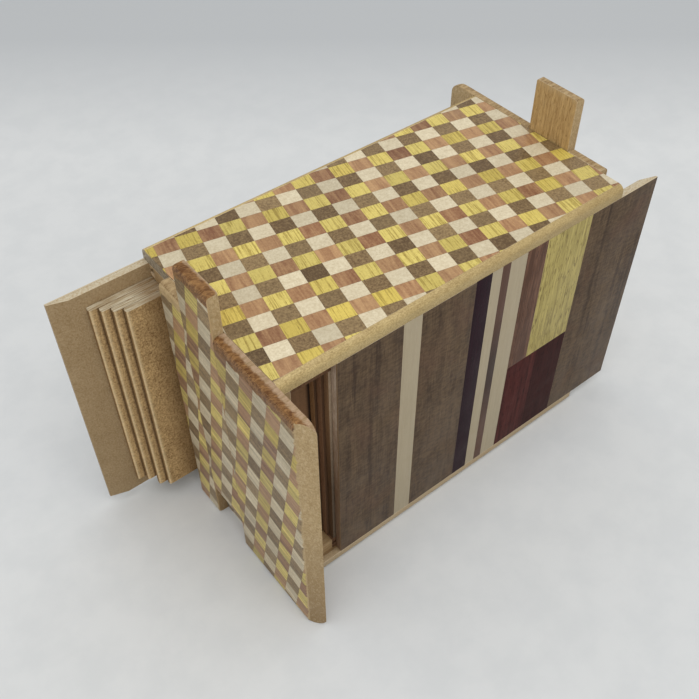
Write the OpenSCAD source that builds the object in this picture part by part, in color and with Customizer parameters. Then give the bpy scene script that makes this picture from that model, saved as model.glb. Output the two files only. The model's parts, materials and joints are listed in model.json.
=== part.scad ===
// Wooden puzzle box, standing on one long narrow side and shown half opened.
// Two long faces and two ends are sliding panels that unlock one another in turn.
// X runs along the length, Y across the width and Z up. The origin is the middle of the box
// on the surface that it stands on. Sizes are millimetres.

/* [Box] */
// Length of the lid board and the bottom board
box_l = 144.2; // [130:0.1:160]
// Width over the lid board
box_w = 75.1; // [70:0.1:90]
// Height over the lid board and the bottom board
box_h = 111.7; // [95:0.1:130]
// Thickness of the lid board and the bottom board with their veneer
deck_t = 4.7; // [4:0.1:6]
// Thickness of the sawn veneers
skin_t = 0.6; // [0.4:0.1:0.9]
// Width of the solid wood strip along each long edge of the lid and the bottom
edge_w = 2.3; // [1.6:0.1:3]
// Running clearance between pieces that slide on one another
gap = 0.15; // [0.1:0.01:0.2]

/* [Fixed frame] */
// Thickness of the two end walls
wall_t = 6; // [5.6:0.1:8]
// Height of the upper rails and of the lower front rail
rail_h = 5.6; // [5.4:0.1:7]
// Height of the lower back rail under its two outer slats
back_rail_h = 6.7; // [6.2:0.1:8]
// Depth of the step in the lower back rail, under its two inner slats
back_rail_step = 2.8; // [1:0.1:3]
// Thickness of the lip that keeps the slats from falling inwards
lip_t = 1.5; // [1:0.1:2.5]
// Height that the lip stands out of its rail
lip_h = 2.2; // [1.5:0.1:4]
// Length of the light wood block in each lower rail, measured from the end wall
block_l = 12.6; // [8:0.1:20]

/* [Long panels] */
// Length of each long panel
panel_l = 143.1; // [130:0.1:143.3]
// Thickness of each long panel with its veneer
panel_t = 3; // [2.6:0.1:4]
// Length of the bevel inside the leading end of each long panel
bevel_l = 6.8; // [4:0.1:12]
// Thickness left at the bevel's tip
tip_t = 0.8; // [0.7:0.1:1.2]
// Length of the runners that hold a panel in its rails
runner_l = 84; // [60:1:86]
// Width of a runner's neck
runner_neck = 1.2; // [1:0.1:1.4]
// Width of a runner's head
runner_head = 2.6; // [2.2:0.1:3]
// Depth of a runner's neck and of its head
runner_d = 1.2; // [1:0.1:1.4]

/* [Veneer strips on the front panel] */
// Left end of the first light strip, from the left end of the panel
light_1_at = 25.4; // [20:0.1:30]
// Width of the first light strip
light_1_w = 7.4; // [4:0.1:10]
// Left edge of the dark purple strip
purple_at = 55.3; // [45:0.1:60]
// Width of the dark purple strip
purple_w = 6.9; // [4:0.1:9]
// Width of the second light strip
light_2_w = 4.6; // [3:0.1:6]
// Width of the thin brown strip
thin_w = 3.7; // [2:0.1:6]
// Width of the third light strip
light_3_w = 7.6; // [5:0.1:10]
// Width of the reddish block beside the yellow one
russet_w = 9.7; // [6:0.1:12]
// Width of the yellow block
yellow_w = 21.5; // [15:0.1:25]
// Height of the yellow block
yellow_h = 56.2; // [40:0.1:80]

/* [Slats] */
// Thickness of one slat
slat_t = 2.4; // [2:0.1:2.6]
// Space between two slats
slat_gap = 0.1; // [0.08:0.01:0.2]
// Number of slats behind each long panel
slats = 4; // [4:1:4]

/* [End pieces] */
// Thickness of an end piece with its veneer
end_t = 4.1; // [3.6:0.1:5]
// Width of the narrow piece on the left end
left_narrow_w = 12.3; // [10:0.1:16]
// Width of the middle piece on the left end
left_mid_w = 18.4; // [14:0.1:22]
// Width of the narrow piece on the right end
right_narrow_w = 15.2; // [12:0.1:18]
// Width of the middle piece on the right end
right_mid_w = 19; // [14:0.1:22]
// Length of the bevel on the long edge of each wide piece
end_bevel = 5.6; // [3:0.1:8]
// Radius worn on the outer edge along the top and bottom of an end piece
worn_r = 2; // [0.4:0.1:2.4]
// Radius of the upper outer corner of each wide piece
wide_r = 4; // [2:0.1:6]
// Radius of the lower outer corner of each wide piece
wide_low_r = 3.6; // [0.8:0.1:6]
// Radius of the corners of each middle piece
mid_r = 0.9; // [0.4:0.1:3]
// Length of the batten that carries the pieces of one end
batten_l = 45; // [40:0.1:48]
// Distance from the box's side to the batten's end, when the end is closed
batten_back = 4.3; // [3:0.1:6]
// Height of the batten's neck
batten_neck = 10; // [6:0.1:14]
// Height of the batten's head
batten_head = 18; // [12:0.1:24]
// Depth of the batten's neck
batten_neck_d = 2; // [1.6:0.1:2.4]
// Depth of the batten's head
batten_head_d = 2; // [1.6:0.1:2.4]
// Thickness of the tongues between the end pieces
tongue_t = 1.2; // [0.9:0.1:1.4]
// Depth of the tongues
tongue_d = 1.2; // [0.8:0.1:2]

/* [How far it is opened] */
// Front panel, moved to the right
front_open = 19.8; // [0:0.1:25]
// Back panel, moved to the left
back_open = 35.1; // [0:0.1:38]
// Outermost front slat, moved to the right
front_slat_open = 13.1; // [6:0.1:20]
// Each further front slat is moved less by this much
front_slat_step = 0.95; // [0:0.05:2]
// Outermost back slat, moved to the left
back_slat_open = 29.8; // [20:0.1:34]
// Each further back slat is moved less by this much
back_slat_step = 3; // [0:0.1:5]
// Left end, moved to the front
left_open = 17.95; // [15:0.05:20]
// Right end, moved to the back
right_open = 10.95; // [10.9:0.05:16]
// Left middle piece, raised
left_lift = 15.9; // [0:0.1:25]
// Right middle piece, raised
right_lift = 20.1; // [0:0.1:30]

/* [Hidden] */
$fn = 48;
eps = 0.01;

// Planes of the fixed frame
end_x = box_l / 2;
side_y = box_w / 2;
wall_x = end_x - wall_t;
floor_z = deck_t;
ceil_z = box_h - deck_t;
deck_y = side_y - edge_w;

// The long panels, and the rails and slats behind them
panel_in_y = side_y - panel_t;
rail_y = panel_in_y - gap / 3;
slat_y = rail_y - gap;
slat_pitch = slat_t + slat_gap;
lip_y = slat_y - slats * slat_pitch + slat_gap - gap;
rail_in_y = lip_y - lip_t;
rail_top_z = ceil_z - rail_h;
slat_top_z = rail_top_z - gap;
slat_end = wall_x - 2 * gap;
panel_bottom_z = floor_z + gap / 2;
panel_top_z = ceil_z - gap / 2;
front_left_x = -panel_l / 2 + front_open;
upper_runner_z = ceil_z - rail_h / 2;
lower_runner_z = floor_z + rail_h / 2;
block_end_x = block_l - wall_x;
runner_mid_x = block_end_x + 4 * gap + runner_l / 2;

// Left edges of the strips, from the left end of the front panel
light_2_at = purple_at + purple_w;
thin_at = light_2_at + light_2_w;
light_3_at = thin_at + thin_w;
russet_at = light_3_at + light_3_w;
yellow_at = russet_at + russet_w;
last_at = yellow_at + yellow_w;
yellow_z = panel_top_z - yellow_h;

// The end pieces
end_in_x = end_x + gap;
end_out_x = end_in_x + end_t;
mid_in_x = end_in_x + gap;
tongue_x = (mid_in_x + end_out_x - skin_t) / 2;
batten_z = box_h / 2;
// Upper and lower corner radii of the end pieces
wide_corners = [wide_r, wide_low_r];
mid_corners = [mid_r, mid_r];
square_corners = [0, 0];
// The groove of a raised middle piece ends this far below the top of its neighbours
hidden_top = 4;

module block(x, y, z) {
    translate([x[0], y[0], z[0]]) cube([x[1] - x[0], y[1] - y[0], z[1] - z[0]]);
}

module along_x(x) {
    translate([x[0], 0, 0]) rotate([90, 0, 90]) linear_extrude(x[1] - x[0]) children();
}

module half_turn() {
    rotate([0, 0, 180]) children();
}

module upside_down() {
    translate([0, 0, box_h]) rotate([180, 0, 0]) children();
}

module rect(y, z) {
    translate([y[0], z[0]]) square([y[1] - y[0], z[1] - z[0]]);
}

// Lid and bottom, drawn as the lid

module deck_core() {
    block([-end_x, end_x], [-deck_y, deck_y], [ceil_z, box_h - skin_t]);
}

module deck_skin() {
    block([-end_x, end_x], [-deck_y, deck_y], [box_h - skin_t, box_h]);
}

// A strip with its upper outer corner rounded over its whole width
module deck_edge() {
    round_z = box_h - edge_w;
    along_x([-end_x, end_x]) difference() {
        rect([-side_y, -deck_y], [ceil_z, box_h]);
        difference() {
            rect([-side_y - eps, -deck_y], [round_z, box_h + eps]);
            translate([-deck_y, round_z]) circle(edge_w);
        }
    }
}

module lid_board() { color("tan") deck_core(); }
module lid_veneer() { color("khaki") deck_skin(); }
module lid_front_edge() { color("wheat") deck_edge(); }
module lid_back_edge() { color("wheat") half_turn() deck_edge(); }
module bottom_board() { color("tan") upside_down() deck_core(); }
module bottom_veneer() { color("khaki") upside_down() deck_skin(); }
module bottom_front_edge() { color("wheat") half_turn() upside_down() deck_edge(); }
module bottom_back_edge() { color("wheat") upside_down() deck_edge(); }

// End wall on the left, with the groove that its batten slides in
module end_wall() {
    neck_x = -end_in_x + batten_neck_d - gap;
    difference() {
        block([-end_x, -wall_x], [-rail_y, lip_y], [floor_z, ceil_z]);
        block([-end_x - eps, neck_x], [-rail_y - eps, lip_y + eps],
            [batten_z - batten_neck / 2 - gap, batten_z + batten_neck / 2 + gap]);
        block([neck_x, neck_x + batten_head_d + 2 * gap], [-rail_y - eps, lip_y + eps],
            [batten_z - batten_head / 2 - gap, batten_z + batten_head / 2 + gap]);
    }
}

module left_end_wall() { color("burlywood") end_wall(); }
module right_end_wall() { color("burlywood") half_turn() end_wall(); }

// Groove for a panel's runner, as a section on the front side
module runner_groove(z) {
    rect([-rail_y - eps, -rail_y + runner_d], [z - runner_neck / 2 - gap, z + runner_neck / 2 + gap]);
    rect([-rail_y + runner_d - eps, -rail_y + 2 * runner_d + 2 * gap],
        [z - runner_head / 2 - gap, z + runner_head / 2 + gap]);
}

module upper_rail() {
    difference() {
        union() {
            block([-wall_x, end_x], [-rail_y, -lip_y], [rail_top_z, ceil_z]);
            block([-wall_x, wall_x], [-rail_y, -rail_in_y], [rail_top_z, ceil_z]);
            block([-wall_x, wall_x], [-lip_y, -rail_in_y], [rail_top_z - lip_h, ceil_z]);
        }
        along_x([-wall_x - eps, end_x + eps]) runner_groove(upper_runner_z);
    }
}

// A lower rail is low under the inner pair of slats and starts after its end block
module lower_rail(h, step) {
    step_y = -slat_y + 2 * slat_pitch - slat_gap / 2;
    low_z = floor_z + h - step;
    difference() {
        union() {
            block([block_end_x, end_x], [-rail_y, step_y], [floor_z, floor_z + h]);
            block([block_end_x, end_x], [-rail_y, -lip_y], [floor_z, low_z]);
            block([block_end_x, wall_x], [-rail_y, -rail_in_y], [floor_z, low_z]);
            block([block_end_x, wall_x], [-lip_y, -rail_in_y], [floor_z, low_z + lip_h]);
        }
        along_x([block_end_x - eps, end_x + eps]) runner_groove(lower_runner_z);
    }
}

module rail_block(h, step) {
    block([-wall_x, block_end_x], [-rail_y, -rail_in_y], [floor_z, floor_z + h - step]);
}

module front_upper_rail() { color("burlywood") upper_rail(); }
module front_lower_rail() { color("saddlebrown") lower_rail(rail_h, 0); }
module front_rail_block() { color("burlywood") rail_block(rail_h, 0); }
module back_upper_rail() { color("burlywood") half_turn() upper_rail(); }
module back_lower_rail() { color("burlywood") half_turn() lower_rail(back_rail_h, back_rail_step); }
module back_rail_block() { color("burlywood") half_turn() rail_block(back_rail_h, back_rail_step); }

// A long panel on the front side, closed, with its bevelled end to the right
module panel_core() {
    translate([0, 0, panel_bottom_z]) linear_extrude(panel_top_z - panel_bottom_z) polygon([
        [-panel_l / 2, -panel_in_y],
        [panel_l / 2 - bevel_l, -panel_in_y],
        [panel_l / 2, -side_y + tip_t],
        [panel_l / 2, -side_y + skin_t],
        [-panel_l / 2, -side_y + skin_t]
    ]);
}

module runner(z) {
    x = [-runner_l / 2, runner_l / 2];
    deep_y = -panel_in_y + 2 * runner_d + gap;
    block(x, [-panel_in_y, deep_y], [z - runner_neck / 2, z + runner_neck / 2]);
    block(x, [deep_y - runner_d, deep_y], [z - runner_head / 2, z + runner_head / 2]);
}

module front_runner(z) { translate([runner_mid_x + front_open, 0, 0]) runner(z); }
module back_runner(z) { half_turn() translate([runner_mid_x + back_open, 0, 0]) runner(z); }

module front_panel_board() { color("peru") translate([front_open, 0, 0]) panel_core(); }
module front_upper_runner() { color("burlywood") front_runner(upper_runner_z); }
module front_lower_runner() { color("burlywood") front_runner(lower_runner_z); }
module back_panel_board() { color("peru") half_turn() translate([back_open, 0, 0]) panel_core(); }
module back_panel_veneer() {
    color("dimgray") half_turn() translate([back_open, 0, 0])
        block([-panel_l / 2, panel_l / 2], [-side_y, -side_y + skin_t], [panel_bottom_z, panel_top_z]);
}
module back_upper_runner() { color("burlywood") back_runner(upper_runner_z); }
module back_lower_runner() { color("burlywood") back_runner(lower_runner_z); }

// One strip of veneer on the front panel, between two places along it
module strip(from, to, z = [panel_bottom_z, panel_top_z]) {
    block([front_left_x + from, front_left_x + to], [-side_y, -side_y + skin_t], z);
}

module strip_walnut_left() { color("dimgray") strip(0, light_1_at); }
module strip_light_1() { color("cornsilk") strip(light_1_at, light_1_at + light_1_w); }
module strip_walnut_middle() { color("dimgray") strip(light_1_at + light_1_w, purple_at); }
module strip_purple() { color("indigo") strip(purple_at, light_2_at); }
module strip_light_2() { color("cornsilk") strip(light_2_at, thin_at); }
module strip_thin_brown() { color("dimgray") strip(thin_at, light_3_at); }
module strip_light_3() { color("cornsilk") strip(light_3_at, russet_at); }
module strip_russet() { color("rosybrown") strip(russet_at, yellow_at, [yellow_z, panel_top_z]); }
module strip_yellow() { color("gold") strip(yellow_at, last_at, [yellow_z, panel_top_z]); }
module strip_dark_red() { color("darkred") strip(russet_at, last_at, [panel_bottom_z, yellow_z]); }
module strip_walnut_right() { color("dimgray") strip(last_at, panel_l); }

// A slat on the front side, counted from the panel inwards, with its lower edge at z
module slat(i, shift, z) {
    outer_y = -slat_y + (i - 1) * slat_pitch;
    block([-slat_end + shift, slat_end + shift], [outer_y, outer_y + slat_t], [z, slat_top_z]);
}

module front_slat(i) {
    shift = i < slats ? front_slat_open - (i - 1) * front_slat_step : 0;
    color("sienna") slat(i, shift, floor_z + rail_h + gap);
}

module back_slat(i) {
    shift = back_slat_open - (i - 1) * back_slat_step;
    low = i > 2 ? back_rail_step : 0;
    color("peru") half_turn() slat(i, shift, floor_z + back_rail_h - low + gap);
}

// What a rounded corner takes off a rectangle, given the directions into the rectangle
module corner_off(y, z, r, in_y, in_z) {
    difference() {
        rect(in_y > 0 ? [y - eps, y + r] : [y - r, y + eps],
            in_z > 0 ? [z - eps, z + r] : [z - r, z + eps]);
        translate([y + in_y * r, z + in_z * r]) circle(r);
    }
}

// Outline of an end piece seen from the end, with the radii of its upper and lower corners
module end_outline(y, front_r, back_r) {
    difference() {
        rect(y, [0, box_h]);
        if (front_r[0] > 0) corner_off(y[0], box_h, front_r[0], 1, -1);
        if (front_r[1] > 0) corner_off(y[0], 0, front_r[1], 1, 1);
        if (back_r[0] > 0) corner_off(y[1], box_h, back_r[0], -1, -1);
        if (back_r[1] > 0) corner_off(y[1], 0, back_r[1], -1, 1);
    }
}

// Section of an end piece across its thickness, with its outer edges worn round
module worn_section() {
    rotate([90, 0, 0]) linear_extrude(2 * box_w, center = true) difference() {
        rect([-end_out_x, -end_in_x], [0, box_h]);
        corner_off(-end_out_x, box_h, worn_r, 1, -1);
        corner_off(-end_out_x, 0, worn_r, 1, 1);
    }
}

// A whole end piece on the left end, closed, before it is split into core and veneer
module end_piece(y, front_r, back_r, bevel) {
    intersection() {
        along_x([-end_out_x, -end_in_x]) end_outline(y, front_r, back_r);
        worn_section();
        linear_extrude(box_h) polygon([
            [-end_in_x, y[0]], [-end_in_x, y[1]], [-end_out_x, y[1]], [-end_out_x, y[0] + bevel]
        ]);
    }
}

module core_side(inner_x) { block([-end_out_x + skin_t, -inner_x], [-box_w, box_w], [0, box_h]); }
module veneer_side() { block([-end_out_x, -end_out_x + skin_t], [-box_w, box_w], [0, box_h]); }

// Tongue or, grown by its clearance, the groove that it runs in
module tongue(y, z, grow) {
    block([-tongue_x - tongue_t / 2 - grow, -tongue_x + tongue_t / 2 + grow], y, z);
}

// Edges of the middle piece and its neighbours on the left end, closed
function wide_edge(narrow_w, mid_w) = side_y - narrow_w - mid_w;
function narrow_edge(narrow_w) = side_y - narrow_w;
function tongue_z(lift) = [lift + gap * 4, box_h - lift - hidden_top - gap * 2];

module wide_core(narrow_w, mid_w, lift) {
    y1 = wide_edge(narrow_w, mid_w);
    intersection() {
        end_piece([-side_y, y1], wide_corners, square_corners, end_bevel);
        core_side(end_in_x);
    }
    tongue([y1 - eps, y1 + tongue_d], tongue_z(lift), 0);
}

module wide_veneer(narrow_w, mid_w) {
    intersection() {
        end_piece([-side_y, wide_edge(narrow_w, mid_w)], wide_corners, square_corners, end_bevel);
        veneer_side();
    }
}

module narrow_core(narrow_w, lift) {
    y0 = narrow_edge(narrow_w);
    intersection() {
        end_piece([y0, side_y], square_corners, square_corners, 0);
        core_side(end_in_x);
    }
    tongue([y0 - tongue_d, y0 + eps], tongue_z(lift), 0);
}

module narrow_veneer(narrow_w) {
    intersection() {
        end_piece([narrow_edge(narrow_w), side_y], square_corners, square_corners, 0);
        veneer_side();
    }
}

module middle_core(narrow_w, mid_w, lift) {
    y0 = wide_edge(narrow_w, mid_w) + gap;
    y1 = narrow_edge(narrow_w) - gap;
    groove_z = [-eps, box_h - lift - hidden_top];
    translate([0, 0, lift]) difference() {
        intersection() {
            end_piece([y0, y1], mid_corners, mid_corners, 0);
            core_side(mid_in_x);
        }
        tongue([y0 - eps, y0 + tongue_d], groove_z, gap);
        tongue([y1 - tongue_d, y1 + eps], groove_z, gap);
    }
}

module middle_veneer(narrow_w, mid_w, lift) {
    y = [wide_edge(narrow_w, mid_w) + gap, narrow_edge(narrow_w) - gap];
    translate([0, 0, lift]) intersection() {
        end_piece(y, mid_corners, mid_corners, 0);
        veneer_side();
    }
}

// Batten glued behind the wide and the narrow piece, in the groove of the end wall
module batten() {
    y = [side_y - batten_back - batten_l, side_y - batten_back];
    neck_x = -end_in_x + batten_neck_d;
    deep_x = neck_x + batten_head_d;
    block([-end_in_x, deep_x], y, [batten_z - batten_neck / 2, batten_z + batten_neck / 2]);
    block([neck_x, deep_x], y, [batten_z - batten_head / 2, batten_z + batten_head / 2]);
}

module left_end() { translate([0, -left_open, 0]) children(); }
module right_end() { half_turn() translate([0, -right_open, 0]) children(); }

module left_wide_core() { color("burlywood") left_end() wide_core(left_narrow_w, left_mid_w, left_lift); }
module left_wide_veneer() { color("khaki") left_end() wide_veneer(left_narrow_w, left_mid_w); }
module left_middle_core() {
    color("burlywood") left_end() middle_core(left_narrow_w, left_mid_w, left_lift);
}
module left_middle_veneer() {
    color("khaki") left_end() middle_veneer(left_narrow_w, left_mid_w, left_lift);
}
module left_narrow_core() { color("burlywood") left_end() narrow_core(left_narrow_w, left_lift); }
module left_narrow_veneer() { color("khaki") left_end() narrow_veneer(left_narrow_w); }
module left_batten() { color("peru") left_end() batten(); }
module right_wide_core() {
    color("burlywood") right_end() wide_core(right_narrow_w, right_mid_w, right_lift);
}
module right_wide_veneer() { color("khaki") right_end() wide_veneer(right_narrow_w, right_mid_w); }
module right_middle_core() {
    color("burlywood") right_end() middle_core(right_narrow_w, right_mid_w, right_lift);
}
module right_middle_veneer() {
    color("khaki") right_end() middle_veneer(right_narrow_w, right_mid_w, right_lift);
}
module right_narrow_core() { color("burlywood") right_end() narrow_core(right_narrow_w, right_lift); }
module right_narrow_veneer() { color("khaki") right_end() narrow_veneer(right_narrow_w); }
module right_batten() { color("peru") right_end() batten(); }

lid_board();
lid_veneer();
lid_front_edge();
lid_back_edge();
bottom_board();
bottom_veneer();
bottom_front_edge();
bottom_back_edge();
left_end_wall();
right_end_wall();
front_upper_rail();
front_lower_rail();
front_rail_block();
back_upper_rail();
back_lower_rail();
back_rail_block();
front_panel_board();
front_upper_runner();
front_lower_runner();
strip_walnut_left();
strip_light_1();
strip_walnut_middle();
strip_purple();
strip_light_2();
strip_thin_brown();
strip_light_3();
strip_russet();
strip_yellow();
strip_dark_red();
strip_walnut_right();
back_panel_board();
back_panel_veneer();
back_upper_runner();
back_lower_runner();
front_slat(1);  // front_slat_1
front_slat(2);  // front_slat_2
front_slat(3);  // front_slat_3
front_slat(4);  // front_slat_4
back_slat(1);  // back_slat_1
back_slat(2);  // back_slat_2
back_slat(3);  // back_slat_3
back_slat(4);  // back_slat_4
left_wide_core();
left_wide_veneer();
left_middle_core();
left_middle_veneer();
left_narrow_core();
left_narrow_veneer();
left_batten();
right_wide_core();
right_wide_veneer();
right_middle_core();
right_middle_veneer();
right_narrow_core();
right_narrow_veneer();
right_batten();
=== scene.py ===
import json
import math

import bmesh
import bpy
from mathutils import Euler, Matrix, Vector


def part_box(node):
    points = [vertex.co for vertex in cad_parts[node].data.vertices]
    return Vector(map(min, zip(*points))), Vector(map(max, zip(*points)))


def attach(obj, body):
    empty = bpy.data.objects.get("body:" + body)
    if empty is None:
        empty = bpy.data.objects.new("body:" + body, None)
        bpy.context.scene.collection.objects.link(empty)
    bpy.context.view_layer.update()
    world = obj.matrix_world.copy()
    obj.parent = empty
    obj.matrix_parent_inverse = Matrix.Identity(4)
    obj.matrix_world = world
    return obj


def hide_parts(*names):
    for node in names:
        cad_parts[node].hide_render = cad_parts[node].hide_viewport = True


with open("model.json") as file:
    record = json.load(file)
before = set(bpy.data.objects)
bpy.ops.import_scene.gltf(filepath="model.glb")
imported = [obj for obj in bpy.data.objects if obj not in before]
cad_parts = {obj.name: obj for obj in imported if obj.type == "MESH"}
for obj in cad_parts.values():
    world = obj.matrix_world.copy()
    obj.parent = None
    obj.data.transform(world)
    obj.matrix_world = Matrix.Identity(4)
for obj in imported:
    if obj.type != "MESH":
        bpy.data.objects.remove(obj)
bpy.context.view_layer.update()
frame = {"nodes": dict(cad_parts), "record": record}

bl_info = {
    "name": "Half opened puzzle box",
    "version": (1, 0, 0),
    "blender": (4, 5, 0),
    "location": "View3D > Sidebar > Puzzle Box",
    "description": "Dresses a wooden puzzle box in checker and striped veneer",
    "category": "Object",
}

MM = 0.001
RECORD = frame["record"]
BODY_OF = {node: body for body, nodes in RECORD["behaviour"]["bodies"].items() for node in nodes}


def paint(red, green, blue):
    """A colour as it is seen on a screen, turned into the linear colour that materials use."""
    def linear(value):
        value /= 255
        return value / 12.92 if value <= 0.04045 else ((value + 0.055) / 1.055) ** 2.4
    return (linear(red), linear(green), linear(blue), 1.0)


def length_prop(name, text, millimetres):
    return bpy.props.FloatProperty(
        name=name, description=text, default=millimetres * MM, unit="LENGTH", precision=5)


def angle_prop(name, text, degrees):
    return bpy.props.FloatProperty(
        name=name, description=text, default=math.radians(degrees), unit="ROTATION")


def swatch(name, text, *rgb):
    """A colour that a user can change, from its red, green and blue out of 255."""
    return bpy.props.FloatVectorProperty(
        name=name, description=text, default=paint(*rgb), size=4, subtype="COLOR", min=0, max=1)


class PUZZLE_PG_sizes(bpy.types.PropertyGroup):
    lid_tile_l: length_prop("Lid tile length", "Tile of the lid's checker, along the box", 7.5)
    lid_tile_w: length_prop("Lid tile width", "Tile of the lid's checker, across the box", 6.37)
    lid_turn: angle_prop("Lid pattern turn", "How far the lid's checker is turned", -12.77)
    lid_x: length_prop("Lid pattern X", "A tile corner of the lid's checker", -40.95)
    lid_y: length_prop("Lid pattern Y", "The same tile corner across the box", 23.6)
    end_tile_h: length_prop("End tile height", "Tile of the end checker, up the box", 7.8)
    end_tile_w: length_prop("End tile width", "Tile of the end checker, across the box", 6.63)
    end_turn: angle_prop("End pattern turn", "How far the end checker is turned", 11.69)
    wide_y: length_prop("Wide pattern Y", "A tile corner of the wide left piece", -34.75)
    wide_z: length_prop("Wide pattern Z", "The height of that corner", 60.01)
    middle_y: length_prop("Middle pattern Y", "A tile corner of the middle left piece", 5.44)
    middle_z: length_prop("Middle pattern Z", "The height of that corner", 69.47)
    narrow_y: length_prop("Narrow pattern Y", "A tile corner of the narrow left piece", 16.40)
    narrow_z: length_prop("Narrow pattern Z", "The height of that corner", 55.57)
    rubbed: length_prop("Rubbed band", "How far the top of an end's veneer is rubbed away", 3.4)
    lining: length_prop("Lining", "Thickness of the inner layer of an end piece", 1.75)
    arris: length_prop("Arris", "Worn rounding of a solid wood edge", 0.35)
    thin_arris: length_prop("Thin arris", "Rounding of a thin board's or strip's edge", 0.175)
    skin_arris: length_prop("Veneer arris", "Rounding of a veneer's edge", 0.05)
    slat_arris: length_prop("Slat arris", "Rounding of a back slat's upright edges", 0.8)


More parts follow.
